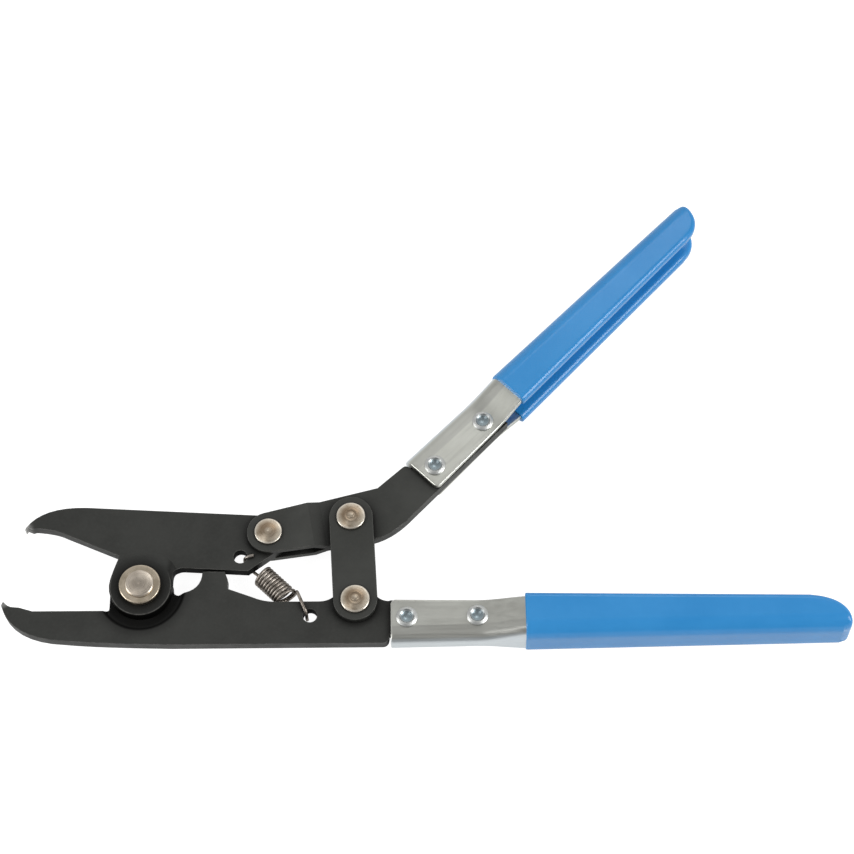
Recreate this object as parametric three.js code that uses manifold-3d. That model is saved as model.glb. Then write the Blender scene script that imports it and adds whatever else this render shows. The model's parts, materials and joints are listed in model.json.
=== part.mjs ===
// Compound-action pliers: two pressed steel jaws on one main pivot, the upper jaw worked by a hand
// lever and a pair of links. Millimetres. The tool lies flat: +X runs from the jaws to the lower
// handle, +Y from the lower handle to the upper one, +Z up. The origin is on the main pivot axis,
// at the flat rear end of the pivot rivet. The jaws are open, as the return spring holds them.
import * as THREE from "three";
import { mergeVertices } from "three/addons/utils/BufferGeometryUtils.js";
import Module from "manifold-3d";

const wasm = await Module();
wasm.setup();

// ---- Driving dimensions -------------------------------------------------------------------

const plate = 3.5; // jaws and lower lever
const sheet = plate / 2; // the upper lever is two of these
const running = 0.1; // clearance between faces that turn on each other
const seat = 0.05; // gap under a fixed head or washer
const roundSteps = 24; // facets round every turned piece

const half = plate / 2;
const jogged = half + running; // how far a bent-out face moves from the middle plane

// Pivots, in the plane of the plates. The whole tool is moved at the end, to put the origin on the
// main pivot.
const mainPivot = [-0.2, 0.5];
const jawPin = [37.15, 17.7];
const upperLinkPin = [61.75, 22.25];
const lowerLinkPin = [63.35, -4.25];
const jawSpringHole = [28.9, 10.5];
const leverSpringHole = [50, -8.4];
const springHoleRadius = 2.1;

const bossRadius = 9.3; // round the main pivot
const bossBlend = 12.2; // where the upper jaw's bent-out boss meets its flat plate
const recessFlat = 11.2; // the lower lever is bent back further out, under the upper jaw's boss
const recessBlend = 13;
const eyeRadius = 6; // of the jaw, round the jaw pin
const cheekRadius = 6.4; // of the lever, round the same pin

// How far the links miss the lever's pin hole, at most, while the joints turn at constant ratios.
const openPivotPlay = 1.65;

const pivotShank = 3;
const pivotHead = 4.05;
const washerRadius = 6.15;
const washerThick = 1.8;
const pinShank = 2.4;
const jawPinHead = 4.1;
const linkPinHead = 4.3;
const openPinShank = 1.7;
const pinHeadHeight = 1.4;

const linkRadius = 6.5;
const linkThick = 2.3;

const channelSheet = 1.8;
const channelCorner = 3;
const webBow = 0.35; // how far the narrow part's web stands out past the wide part's
const channelWide = 7.4; // half width inside the grip
const channelDepth = 13.2; // at the front end
const handleTaper = 0.031; // depth lost per millimetre towards the rear
const flareFrom = 28.8;
const flareTo = 39;
const rivetAt = [4.8, 25.5];
const rivetFromWeb = 7.5;
const tangEnd = 31; // the plates stop here, inside the channel
const tangGap = 0.4; // how far they stand proud of the open side
const tangFoot = channelCorner + running; // clear of the round between web and legs

const coat = 0.5; // plastic outside the web
const lip = 0.9; // plastic over the open edges
const gripHalf = 8.25;
const slotHalf = 4.25;
const slotFloor = 3.7; // from the outer face of the web's coat
const fitGap = 0.15; // between the channel and the plastic moulded on it

// Each handle has its own frame: u runs from the channel's front end to the rear, v from the web's
// outer face to the open side. turn is the sense from u to v.
const lowerHandle = { origin: [73.9, -17.3], angle: 1.05, turn: 1, gripFrom: 39.5, length: 134, blunt: 0 };
const upperHandle = { origin: [78.2, 41.1], angle: 45.3, turn: -1, gripFrom: 36.3, length: 123, blunt: 1 };

const wire = 0.9;
const coilRadius = 3;
const coilTurns = 10;
const coilPitch = 0.95;

const pivotHeadHeight = 1;
const midPlane = half + jogged + seat * 2 + washerThick + pivotHeadHeight;

// ---- Small geometry helpers ---------------------------------------------------------------

function toSolid(geometry) {
  const bare = geometry.clone();
  bare.deleteAttribute("normal");
  bare.deleteAttribute("uv");
  const merged = mergeVertices(bare, 1e-4);
  return new wasm.Manifold(
    new wasm.Mesh({
      numProp: 3,
      vertProperties: merged.attributes.position.array,
      triVerts: new Uint32Array(merged.index.array),
    }),
  );
}

function toGeometry(solid) {
  const mesh = solid.getMesh();
  const geometry = new THREE.BufferGeometry();
  geometry.setAttribute("position", new THREE.BufferAttribute(mesh.vertProperties, 3));
  geometry.setIndex(new THREE.BufferAttribute(mesh.triVerts, 1));
  geometry.computeVertexNormals();
  return geometry;
}

function prism(shape, bottom, top, curveSegments = 8) {
  const geometry = new THREE.ExtrudeGeometry(shape, {
    depth: top - bottom,
    bevelEnabled: false,
    curveSegments,
  });
  return toSolid(geometry.translate(0, 0, bottom));
}

// A solid turned about a line parallel to Z. The profile is [radius, z] pairs, from the axis at
// the bottom to the axis at the top.
function turned(profile, [x, y] = [0, 0]) {
  const points = profile.map(([r, z]) => new THREE.Vector2(r, z));
  const geometry = new THREE.LatheGeometry(points, roundSteps);
  return toSolid(geometry.rotateX(Math.PI / 2).translate(x, y, 0));
}

function drill(radius, centre, reach = 12) {
  const profile = [[0, -reach], [radius, -reach], [radius, reach], [0, reach]];
  return turned(profile, centre);
}

const radians = (degrees) => (degrees * Math.PI) / 180;

// The angle on a circle at which a line from an outside point touches it. side +1 is the touch
// point counter-clockwise from the point, -1 the other one.
function touchAngle(point, centre, radius, side) {
  const dx = point[0] - centre[0];
  const dy = point[1] - centre[1];
  return Math.atan2(dy, dx) + side * Math.acos(radius / Math.hypot(dx, dy));
}

// A handle's (u, v) in the plane of the tool.
function inPlane(handle, u, v) {
  const a = radians(handle.angle);
  const across = v * handle.turn;
  return [
    handle.origin[0] + u * Math.cos(a) - across * Math.sin(a),
    handle.origin[1] + u * Math.sin(a) + across * Math.cos(a),
  ];
}

function depthAt(u) {
  return channelDepth - handleTaper * u;
}

const slopeOf = (from, to) => Math.atan2(to[1] - from[1], to[0] - from[0]);

// ---- Jaws ---------------------------------------------------------------------------------

// The flat plate round the main pivot is bent out by one half thickness, so that both jaws lie in
// one plane and still cross at the pivot. side is +1 for the jaw whose boss is in front. The bend
// runs from the radius bentTo to the radius blendTo.
function bentAtPivot(shape, side, bentTo, blendTo) {
  const shift = side * jogged;
  const edge = blendTo + 0.4;
  const low = [[0, shift - half], [bentTo, shift - half], [blendTo, -half], [edge, -half]];
  const high = [[edge, half], [blendTo, half], [bentTo, shift + half], [0, shift + half]];
  const boss = turned([...low, ...high], mainPivot).intersect(prism(shape, -8, 8));
  const flat = prism(shape, -half, half).subtract(drill(blendTo + 0.2, mainPivot));
  return flat.add(boss);
}

function upperJaw() {
  const neck = [-7.2, 11];
  const heel = [31.3, 5.9];
  const brow = [-18, 26.8];
  const bossStart = touchAngle(neck, mainPivot, bossRadius, 1);
  const bossRight = mainPivot[0] + bossRadius;
  const eyeStart = touchAngle(heel, jawPin, eyeRadius, 1);
  const eyeEnd = touchAngle(brow, jawPin, eyeRadius, -1);
  const s = new THREE.Shape();
  s.moveTo(-36, 19.6); // the hooked tip
  s.lineTo(-35.4, 20.4);
  s.lineTo(-33.8, 19.8);
  s.lineTo(-32.9, 20.1);
  s.quadraticCurveTo(-26.5, 19.6, -23.6, 18);
  s.lineTo(...neck);
  s.absarc(...mainPivot, bossRadius, bossStart, 2 * Math.PI, false);
  s.lineTo(bossRight, 3.8);
  s.quadraticCurveTo(bossRight, 7.1, 12.2, 7);
  s.lineTo(...heel);
  s.absarc(...jawPin, eyeRadius, eyeStart, eyeEnd, false);
  s.lineTo(...brow);
  s.quadraticCurveTo(-31.3, 27.2, -35.8, 20.3);
  s.closePath();
  return bentAtPivot(s, 1, bossRadius, bossBlend)
    .subtract(drill(pivotShank + running, mainPivot))
    .subtract(drill(pinShank + seat, jawPin))
    .subtract(drill(springHoleRadius, jawSpringHole));
}

// The long blank of the lower jaw: jaw, stop tab, lever and the tang inside the channel.
function lowerJawLever() {
  const leverTop = -3.9;
  const humpTop = 3.6; // the control point of its curve, level with the pin's far side
  const bossLeft = mainPivot[0] - bossRadius;
  const s = new THREE.Shape();
  s.moveTo(-40.9, -3.4); // the hooked tip
  s.lineTo(-39.4, -4.7);
  s.lineTo(-38.4, -5.1);
  s.lineTo(-36, -5.3);
  s.lineTo(-32, -6.5);
  s.lineTo(-10.8, -6.5);
  s.quadraticCurveTo(bossLeft, -6.5, bossLeft, -4.8);
  s.absarc(...mainPivot, bossRadius, Math.PI, 0, true);
  s.quadraticCurveTo(9.4, -1.2, 11.4, -1.1);
  s.quadraticCurveTo(17.8, -0.3, 17.8, 5.75); // the stop tab
  s.lineTo(24.4, 5.75);
  s.lineTo(25.4, 3.2);
  s.lineTo(25.4, 0.3);
  s.lineTo(33, -2.5);
  s.quadraticCurveTo(36.2, leverTop, 39.5, leverTop);
  s.lineTo(52.5, leverTop);
  s.quadraticCurveTo(56.3, leverTop, 58, -1);
  s.quadraticCurveTo(lowerLinkPin[0], humpTop, 68.6, -1);
  s.quadraticCurveTo(70.3, leverTop, 73.2, leverTop);
  s.lineTo(...inPlane(lowerHandle, 0, depthAt(0) + tangGap));
  s.lineTo(...inPlane(lowerHandle, tangEnd, depthAt(tangEnd) + tangGap));
  s.lineTo(...inPlane(lowerHandle, tangEnd, tangFoot));
  s.lineTo(...inPlane(lowerHandle, -tangGap, tangFoot));
  s.quadraticCurveTo(...inPlane(lowerHandle, -tangGap, 0.2), ...inPlane(lowerHandle, -2.5, 0.2));
  s.lineTo(9.8, -17.3);
  s.quadraticCurveTo(-12, -16.9, -22, -15.9);
  s.quadraticCurveTo(-38, -15.2, -41.4, -4.6);
  s.closePath();
  let solid = bentAtPivot(s, -1, recessFlat, recessBlend)
    .subtract(drill(pivotShank + seat, mainPivot))
    .subtract(drill(pinShank + seat, lowerLinkPin))
    .subtract(drill(springHoleRadius, leverSpringHole));
  for (const u of rivetAt) {
    solid = solid.subtract(drill(2.1, inPlane(lowerHandle, u, rivetFromWeb)));
  }
  return solid;
}

// ---- Upper lever --------------------------------------------------------------------------

function leverOutline() {
  const elbow = [69.5, 32.7];
  const belly = [73.7, 16.6];
  const bellyFrom = [66.5, 15.4];
  const cheekStart = touchAngle(elbow, jawPin, cheekRadius, 1);
  const cheekEnd = touchAngle(bellyFrom, jawPin, cheekRadius, -1);
  const s = new THREE.Shape();
  s.moveTo(...inPlane(upperHandle, -2, 0.3));
  s.lineTo(...elbow);
  s.absarc(...jawPin, cheekRadius, cheekStart, cheekEnd + 2 * Math.PI, false);
  s.lineTo(...bellyFrom);
  s.quadraticCurveTo(...belly, ...inPlane(upperHandle, -11.5, depthAt(0) + tangGap));
  s.lineTo(...inPlane(upperHandle, tangEnd, depthAt(tangEnd) + tangGap));
  s.lineTo(...inPlane(upperHandle, tangEnd, tangFoot));
  s.lineTo(...inPlane(upperHandle, -tangGap, tangFoot));
  s.quadraticCurveTo(...inPlane(upperHandle, -tangGap, 0.3), ...inPlane(upperHandle, -2, 0.3));
  s.closePath();
  return s;
}

// One of the two sheets of the upper lever. side is +1 in front, -1 behind. Past the bend it is
// set out, to straddle the eye of the upper jaw.
function leverSheet(side) {
  const bendFrom = 12.5;
  const bendTo = 16.2;
  const s = new THREE.Shape();
  s.moveTo(-20, jogged);
  s.lineTo(bendFrom, jogged);
  s.lineTo(bendTo, 0);
  s.lineTo(90, 0);
  s.lineTo(90, sheet);
  s.lineTo(bendTo + 0.4, sheet);
  s.lineTo(bendFrom + 0.4, jogged + sheet);
  s.lineTo(-20, jogged + sheet);
  s.closePath();
  const band = new THREE.ExtrudeGeometry(s, { depth: 120, bevelEnabled: false });
  band.translate(0, 0, -60).rotateX(Math.PI / 2);
  band.rotateZ(slopeOf(jawPin, upperLinkPin));
  band.translate(...jawPin, 0);
  let solid = toSolid(band).intersect(prism(leverOutline(), -8, 8));
  solid = solid
    .subtract(drill(pinShank + running, jawPin))
    .subtract(drill(openPinShank + openPivotPlay + running, upperLinkPin));
  for (const u of rivetAt) {
    solid = solid.subtract(drill(2.1, inPlane(upperHandle, u, rivetFromWeb)));
  }
  return side > 0 ? solid : solid.mirror([0, 0, 1]);
}

// A flat link with round ends. side is +1 in front, -1 behind.
function link(side) {
  const along = slopeOf(lowerLinkPin, upperLinkPin);
  const quarter = Math.PI / 2;
  const s = new THREE.Shape();
  s.absarc(...upperLinkPin, linkRadius, along - quarter, along + quarter, false);
  s.absarc(...lowerLinkPin, linkRadius, along + quarter, along + 3 * quarter, false);
  s.closePath();
  const inner = half + running;
  const solid = prism(s, inner, inner + linkThick, 16)
    .subtract(drill(openPinShank + seat, upperLinkPin))
    .subtract(drill(pinShank + running, lowerLinkPin));
  return side > 0 ? solid : solid.mirror([0, 0, 1]);
}

// ---- Pins, washers and rivets -------------------------------------------------------------

// A pin with the same low conical head at both ends; under is the height of the face the head
// sits on.
function pin(centre, shank, head, under) {
  const base = under + seat;
  const rim = base + pinHeadHeight * 0.5;
  const top = base + pinHeadHeight;
  const front = [[shank, base], [head, base], [head, rim], [head * 0.3, top - 0.1], [0, top]];
  const back = front.map(([r, z]) => [r, -z]).reverse();
  return turned([...back, ...front], centre);
}

// The main pivot rivet: a cone-topped head in front, a flat peened end behind.
function pivotRivet() {
  const base = half + jogged + 2 * seat + washerThick;
  const top = base + pivotHeadHeight;
  const back = [[0, -top], [pivotHead, -top], [pivotHead, -base], [pivotShank, -base]];
  const front = [[pivotShank, base], [pivotHead, base], [pivotHead, base + 0.6], [0, top]];
  return turned([...back, ...front], mainPivot);
}

function pivotWasher(side) {
  const base = half + jogged + seat;
  const top = base + washerThick;
  const rim = [[washerRadius, base], [washerRadius, top - 0.4], [washerRadius - 0.4, top]];
  const solid = turned([[0, base], ...rim, [0, top]], mainPivot)
    .subtract(drill(pivotShank + seat, mainPivot));
  return side > 0 ? solid : solid.mirror([0, 0, 1]);
}

// A tubular rivet: its hollow end is rolled over into a ring in front, the plain head is behind.
function tubularRivet(handle, u) {
  const face = half + channelSheet + seat;
  return turned(
    [
      [0, -face - 1.2],
      [2.2, -face - 1],
      [3.2, -face - 0.3],
      [3.2, -face],
      [2, -face],
      [2, face],
      [3.1, face],
      [3.1, face + 0.5],
      [2.7, face + 0.9],
      [2.2, face + 0.8],
      [1.5, face - 0.7],
      [0, face - 1.1],
    ],
    inPlane(handle, u, rivetFromWeb),
  );
}

// ---- Handles ------------------------------------------------------------------------------

// 0 in the narrow part of a channel, 1 in its wide part.
function flareShare(u) {
  return THREE.MathUtils.clamp((u - flareFrom) / (flareTo - flareFrom), 0, 1);
}

function channelHalfWidth(u) {
  const narrow = half + channelSheet;
  return narrow + (channelWide - narrow) * flareShare(u);
}

// The round corner between two legs of a section, from the leg at +z down to the web.
function corner(wide, radius, base, steps = 4) {
  const points = [];
  for (let i = 0; i <= steps; i++) {
    const a = (Math.PI / 2) * (i / steps);
    points.push([wide - radius + radius * Math.cos(a), base + radius - radius * Math.sin(a)]);
  }
  return points;
}

// Half of a U, mirrored to the other side: [z, v] pairs in one loop. grow thickens it all round.
function uSection(u, grow) {
  const wide = channelHalfWidth(u) + grow;
  const inside = channelHalfWidth(u) - channelSheet - grow;
  const top = depthAt(u) + grow;
  const web = webBow * (flareShare(u) - 1);
  const innerCorner = Math.min(channelCorner - channelSheet, inside * 0.8);
  const outer = [[wide, top], ...corner(wide, channelCorner, web - grow)];
  const inner = [[inside, top], ...corner(inside, innerCorner, web + channelSheet + grow)];
  const flip = (points) => points.map(([z, v]) => [-z, v]).reverse();
  return [...outer, ...flip(outer), ...flip(inner).reverse(), ...inner.reverse()];
}

// Joins equal loops of points into one closed solid, with flat ends.
function loft(loops) {
  const count = loops[0].length;
  const positions = loops.flat(2);
  const index = [];
  for (let i = 0; i + 1 < loops.length; i++) {
    for (let j = 0; j < count; j++) {
      const a = i * count + j;
      const b = i * count + ((j + 1) % count);
      index.push(a, b, b + count, a, b + count, a + count);
    }
  }
  const flat = (loop) => loop.map((p) => new THREE.Vector2(p[1], p[2]));
  const last = (loops.length - 1) * count;
  for (const [a, b, c] of THREE.ShapeUtils.triangulateShape(flat(loops[0]), [])) {
    index.push(a, c, b);
  }
  for (const [a, b, c] of THREE.ShapeUtils.triangulateShape(flat(loops.at(-1)), [])) {
    index.push(last + a, last + b, last + c);
  }
  const geometry = new THREE.BufferGeometry();
  geometry.setAttribute("position", new THREE.Float32BufferAttribute(positions, 3));
  geometry.setIndex(index);
  return toSolid(geometry);
}

// Puts a solid made in a handle's own frame (u along X, v along Y, z along Z) in its place.
function mounted(handle, solid) {
  const upright = handle.turn > 0 ? solid : solid.mirror([0, 1, 0]);
  return upright.rotate([0, 0, handle.angle]).translate([...handle.origin, 0]);
}

function channelShell(from, to, grow) {
  const stations = [from, flareFrom, flareTo, to];
  return loft(stations.map((u) => uSection(u, grow).map(([z, v]) => [u, v, z])));
}

// The side view of a grip: straight along the web and the open edge, round at the rear. The upper
// grip's end is blunter than the lower one's.
function gripOutline(handle) {
  const { gripFrom, length, blunt } = handle;
  const roundFrom = length - 14 + 4 * blunt;
  const open = depthAt(roundFrom) + lip;
  const s = new THREE.Shape();
  s.moveTo(gripFrom, -coat);
  s.lineTo(length - 2.2, -coat);
  s.quadraticCurveTo(length, -coat, length, 2.2);
  s.quadraticCurveTo(length - 0.6 + 0.4 * blunt, open - 1.2 + blunt, roundFrom, open);
  s.lineTo(gripFrom, depthAt(gripFrom) + lip);
  s.closePath();
  return s;
}

// A rounded block along X, to trim the long edges of a grip.
function roundedBar(from, to, wide, radius, bottom, top) {
  const loop = [[wide, top], ...corner(wide, radius, bottom, 5)];
  const ring = [...loop, ...loop.map(([z, v]) => [-z, v]).reverse()];
  return loft([from, to].map((u) => ring.map(([z, v]) => [u, v, z])));
}

function channelEnd(handle) {
  return handle.length - 9;
}

function channel(handle) {
  let solid = channelShell(0, channelEnd(handle), 0);
  for (const u of rivetAt) {
    solid = solid.subtract(drill(2.1, [u, rivetFromWeb]));
  }
  return mounted(handle, solid);
}

function grip(handle) {
  const { gripFrom, length } = handle;
  const outline = prism(gripOutline(handle), -gripHalf, gripHalf, 6);
  const block = roundedBar(gripFrom - 1, length + 1, gripHalf, 3.5, -coat, channelDepth + 2);
  const slot = roundedBar(gripFrom - 1, length + 1, slotHalf, 1.2, slotFloor - coat, channelDepth + 4);
  const pocket = channelShell(0, channelEnd(handle) + fitGap, fitGap);
  return mounted(handle, outline.intersect(block).subtract(slot).subtract(pocket));
}

// ---- Return spring ------------------------------------------------------------------------

// The hook behind the upper jaw, the coil between the plates and the hook in front of the lever.
function returnSpring() {
  const start = new THREE.Vector3(35.3, 5.15, 0);
  const along = new THREE.Vector3(0.73, -0.68, 0).normalize();
  const up = new THREE.Vector3(0, 0, 1);
  const side = new THREE.Vector3().crossVectors(up, along);
  const perTurn = 8;
  const points = [
    new THREE.Vector3(33.8, 10.2, half + 0.9),
    new THREE.Vector3(32, 10.5, half + 0.8),
    new THREE.Vector3(30.3, 10.5, half),
    new THREE.Vector3(29.8, 10.4, 0),
    new THREE.Vector3(30.1, 9.8, -half - 0.4),
    new THREE.Vector3(31.4, 8.4, -half - 1),
    new THREE.Vector3(33.6, 6.6, -half - 1.1),
  ];
  for (let i = 0; i <= coilTurns * perTurn; i++) {
    const a = Math.PI + (2 * Math.PI * i) / perTurn;
    points.push(
      start
        .clone()
        .addScaledVector(along, (coilPitch * i) / perTurn)
        .addScaledVector(up, coilRadius * Math.cos(a))
        .addScaledVector(side, -coilRadius * Math.sin(a)),
    );
  }
  points.push(
    new THREE.Vector3(44.8, -0.6, -1.3),
    new THREE.Vector3(45.7, -0.5, 1),
    new THREE.Vector3(46.2, -1.2, 2.5),
    new THREE.Vector3(47.4, -3.6, 2.9),
    new THREE.Vector3(48.6, -6.6, half + 1),
    new THREE.Vector3(49.2, -8.1, half - 0.2),
    new THREE.Vector3(49.4, -8.5, -half + 0.6),
    new THREE.Vector3(49.5, -8.6, -half - 0.6),
  );
  const section = new THREE.Shape();
  section.absarc(0, 0, wire / 2, 0, 2 * Math.PI, false);
  return toSolid(
    new THREE.ExtrudeGeometry(section, {
      steps: 190,
      curveSegments: 3,
      bevelEnabled: false,
      extrudePath: new THREE.CatmullRomCurve3(points),
    }),
  );
}

// ---- Materials and assembly ---------------------------------------------------------------

const blackSteel = () => new THREE.MeshStandardMaterial({ color: 0x3c3d3b, metalness: 0.6, roughness: 0.5 });
const nickel = () => new THREE.MeshStandardMaterial({ color: 0xb9a890, metalness: 0.9, roughness: 0.35 });
const zinc = () => new THREE.MeshStandardMaterial({ color: 0xb4b5ac, metalness: 0.8, roughness: 0.4 });
const bluePlastic = () => new THREE.MeshStandardMaterial({ color: 0x4892d0, roughness: 0.35 });
const springSteel = () => new THREE.MeshStandardMaterial({ color: 0x8f877c, metalness: 0.9, roughness: 0.3 });

const linkFace = half + running + linkThick;
const part = new THREE.Group();
const mechanism = new THREE.Group();
mechanism.position.set(-mainPivot[0], -mainPivot[1], midPlane);
part.add(mechanism);

function addPiece(name, solid, material) {
  const mesh = new THREE.Mesh(toGeometry(solid), material);
  mesh.name = name;
  mechanism.add(mesh);
}

addPiece("lower_jaw_lever", lowerJawLever(), blackSteel());
addPiece("upper_jaw", upperJaw(), blackSteel());
addPiece("lever_sheet_front", leverSheet(1), blackSteel());
addPiece("lever_sheet_rear", leverSheet(-1), blackSteel());
addPiece("link_front", link(1), blackSteel());
addPiece("link_rear", link(-1), blackSteel());

addPiece("main_pivot_rivet", pivotRivet(), nickel());
addPiece("pivot_washer_front", pivotWasher(1), nickel());
addPiece("pivot_washer_rear", pivotWasher(-1), nickel());
addPiece("jaw_pin", pin(jawPin, pinShank, jawPinHead, jogged + sheet), nickel());
addPiece("link_pin_upper", pin(upperLinkPin, openPinShank, linkPinHead, linkFace), nickel());
addPiece("link_pin_lower", pin(lowerLinkPin, pinShank, linkPinHead, linkFace), nickel());

addPiece("return_spring", returnSpring(), springSteel());

for (const [side, handle] of [["lower", lowerHandle], ["upper", upperHandle]]) {
  addPiece(side + "_handle_channel", channel(handle), zinc());
  addPiece(side + "_grip", grip(handle), bluePlastic());
  addPiece(side + "_rivet_front", tubularRivet(handle, rivetAt[0]), zinc());
  addPiece(side + "_rivet_rear", tubularRivet(handle, rivetAt[1]), zinc());
}

export default part;
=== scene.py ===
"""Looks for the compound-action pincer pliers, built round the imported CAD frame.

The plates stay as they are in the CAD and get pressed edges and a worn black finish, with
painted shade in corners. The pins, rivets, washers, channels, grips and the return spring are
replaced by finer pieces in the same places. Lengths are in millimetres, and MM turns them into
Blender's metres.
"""

import json
import math

import bmesh
import bpy
from mathutils import Matrix, Vector


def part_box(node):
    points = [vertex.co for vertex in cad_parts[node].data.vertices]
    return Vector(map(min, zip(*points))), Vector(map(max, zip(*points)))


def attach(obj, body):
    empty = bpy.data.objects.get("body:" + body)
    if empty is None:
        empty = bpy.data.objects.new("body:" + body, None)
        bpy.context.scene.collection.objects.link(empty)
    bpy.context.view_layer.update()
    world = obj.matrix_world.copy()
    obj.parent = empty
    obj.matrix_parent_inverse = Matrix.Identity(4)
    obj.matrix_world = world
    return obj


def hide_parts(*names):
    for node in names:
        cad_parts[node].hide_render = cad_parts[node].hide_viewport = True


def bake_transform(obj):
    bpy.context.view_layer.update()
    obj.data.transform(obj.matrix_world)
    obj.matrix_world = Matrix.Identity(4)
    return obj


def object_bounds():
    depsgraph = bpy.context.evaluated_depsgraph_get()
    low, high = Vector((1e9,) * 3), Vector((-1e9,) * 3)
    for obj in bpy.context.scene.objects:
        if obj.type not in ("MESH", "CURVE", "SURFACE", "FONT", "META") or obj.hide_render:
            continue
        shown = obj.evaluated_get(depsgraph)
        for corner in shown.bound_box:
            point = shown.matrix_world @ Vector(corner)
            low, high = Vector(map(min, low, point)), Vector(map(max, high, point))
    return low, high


MM = 0.001

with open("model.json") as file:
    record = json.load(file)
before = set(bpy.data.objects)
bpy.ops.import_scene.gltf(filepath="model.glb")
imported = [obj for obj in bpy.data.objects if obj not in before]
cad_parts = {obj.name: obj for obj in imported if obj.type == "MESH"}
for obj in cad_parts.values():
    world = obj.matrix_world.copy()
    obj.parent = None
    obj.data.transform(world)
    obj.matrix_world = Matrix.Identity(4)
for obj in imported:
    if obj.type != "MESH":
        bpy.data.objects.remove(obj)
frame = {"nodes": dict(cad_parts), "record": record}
cad_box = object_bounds()
BODIES = frame["record"]["behaviour"]["bodies"]

# ---- Driving dimensions ------------------------------------------------------------------

PLATE_EDGE = 0.28  # roll-over of the pressed edges
SHEET_EDGE = 0.25
BOSS_RADIUS = 9.3  # of the upper jaw, round the main pivot
RECESS_RADIUS = 13.0  # of the lower lever's hollow under that boss
UPPER_JAW_TIP = (-35.8, 19.6, 3.0)  # ground bare: x and y from the main pivot, and how far it reaches
LOWER_JAW_TIP = (-40.6, -4.2, 2.2)
# Areas where a plate's edge face is painted deep black as shadow.
SHADOWED_EDGE_LOWER = (47, 54, -13, -4)  # low x, high x, low y, high y from the main pivot
SHADOWED_EDGE_UPPER = (9, 34, 0, 14)

CHANNEL_SHEET = 1.8
CHANNEL_CORNER = 2.9
WEB_BOW = 0.35  # how far the web stands out where the channel is narrow
FLANGE_TURN = 5.0  # below this height the flanges lean in towards the web
FLANGE_LEAN = 0.14
CHANNEL_NARROW = 3.55
CHANNEL_WIDE = 7.4
CHANNEL_DEPTH = 13.2
HANDLE_TAPER = 0.031
FLARE_FROM = 25.0
FLARE_TO = 43.5
FRONT_CORNER = 1.6  # of the flange, in the side view
BURIED_END = 9.0  # how far the channel ends before the end of its grip

COAT = 0.5  # plastic outside the web
LIP = 0.9  # plastic over the open edges
GRIP_HALF = 8.25
GRIP_LEG = 4.0  # thickness of a leg of the grip
GRIP_CORNER = 4.4
GRIP_EDGE = 1.5  # round of the free edges and of the rear end
DIP_EDGE = 0.45  # round of the plastic's front edge

RIVET_U = (4.8, 25.5)  # the rivets of a handle, from the front end of its channel
RIVET_V = 7.5  # and from its web

SHANK_THICK = 2.4  # of the jaw pin and the lower link pin
SHANK_THIN = 1.7  # of the upper link pin, which needs room in the lever sheets
HEAD_HEIGHT = 1.4
PIVOT_HEAD = 4.3
PIVOT_HEAD_HEIGHT = 1.0
PIVOT_SHANK = 3.0
WASHER_BORE = 3.06
RIVET_HEAD = 3.15
RIVET_TUBE = 2.05

WIRE = 0.98
COIL_START = (35.55, 4.7, 0)  # middle of the coil's front end, from the main pivot
COIL_AXIS = (0.721, -0.693, 0)
COIL_RADIUS = 3.0
COIL_TURNS = 10
COIL_PITCH = 0.97
COIL_FAN = 0.12  # how much wider the turns are spaced on the side of the last loop's opening
LAST_LOOP_GAP = 0.45  # how far the last loop is pulled open


# ---- Small helpers -----------------------------------------------------------------------


def body_of(node):
    return next(body for body, members in BODIES.items() if node in members)


def centre_of(node):
    low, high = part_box(node)
    return (low + high) / 2 / MM


def clamp(value, low, high):
    return max(low, min(high, value))


def smoothstep(t):
    t = clamp(t, 0, 1)
    return t * t * (3 - 2 * t)


def arc(centre, radius, start, end, steps):
    """Points on a circle from one angle to another, in degrees, both ends included."""
    points = []
    for i in range(steps + 1):
        a = math.radians(start + (end - start) * i / steps)
        points.append((centre[0] + radius * math.cos(a), centre[1] + radius * math.sin(a)))
    return points


def make_piece(name, vertices, faces, material, sharp=35, place=None):
    """A smooth-shaded mesh object. Vertices are in millimetres, place is its matrix in metres."""
    mesh = bpy.data.meshes.new(name)
    mesh.from_pydata([tuple(c * MM for c in v) for v in vertices], [], faces)
    mesh.validate()
    piece = bpy.data.objects.new(name, mesh)
    bpy.context.scene.collection.objects.link(piece)
    weld(piece)
    mesh.shade_smooth()
    mesh.set_sharp_from_angle(angle=math.radians(sharp))
    mesh.materials.append(material)
    if place is not None:
        piece.matrix_world = place
    return piece


def weld(piece, distance=1e-6):
    """Joins points that meet, drops the faces that closed up and turns the rest outwards."""
    shape = bmesh.new()
    shape.from_mesh(piece.data)
    bmesh.ops.remove_doubles(shape, verts=shape.verts, dist=distance)
    bmesh.ops.dissolve_degenerate(shape, edges=shape.edges, dist=distance / 2)
    bmesh.ops.recalc_face_normals(shape, faces=shape.faces)
    shape.to_mesh(piece.data)
    shape.free()


def stand_for(piece, node):
    """The piece takes the place of a CAD node, on that node's body."""
    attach(piece, body_of(node))
    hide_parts(node)
    return piece


def bridge(loops, closed=True):
    """Faces between equal loops of points that follow each other in one list."""
    count = len(loops[0])
    faces = []
    for i in range(len(loops) - 1):
        for j in range(count if closed else count - 1):
            a = i * count + j
            b = i * count + (j + 1) % count
            faces.append((a, b, b + count, a + count))
    return faces


# ---- Materials ---------------------------------------------------------------------------


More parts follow.
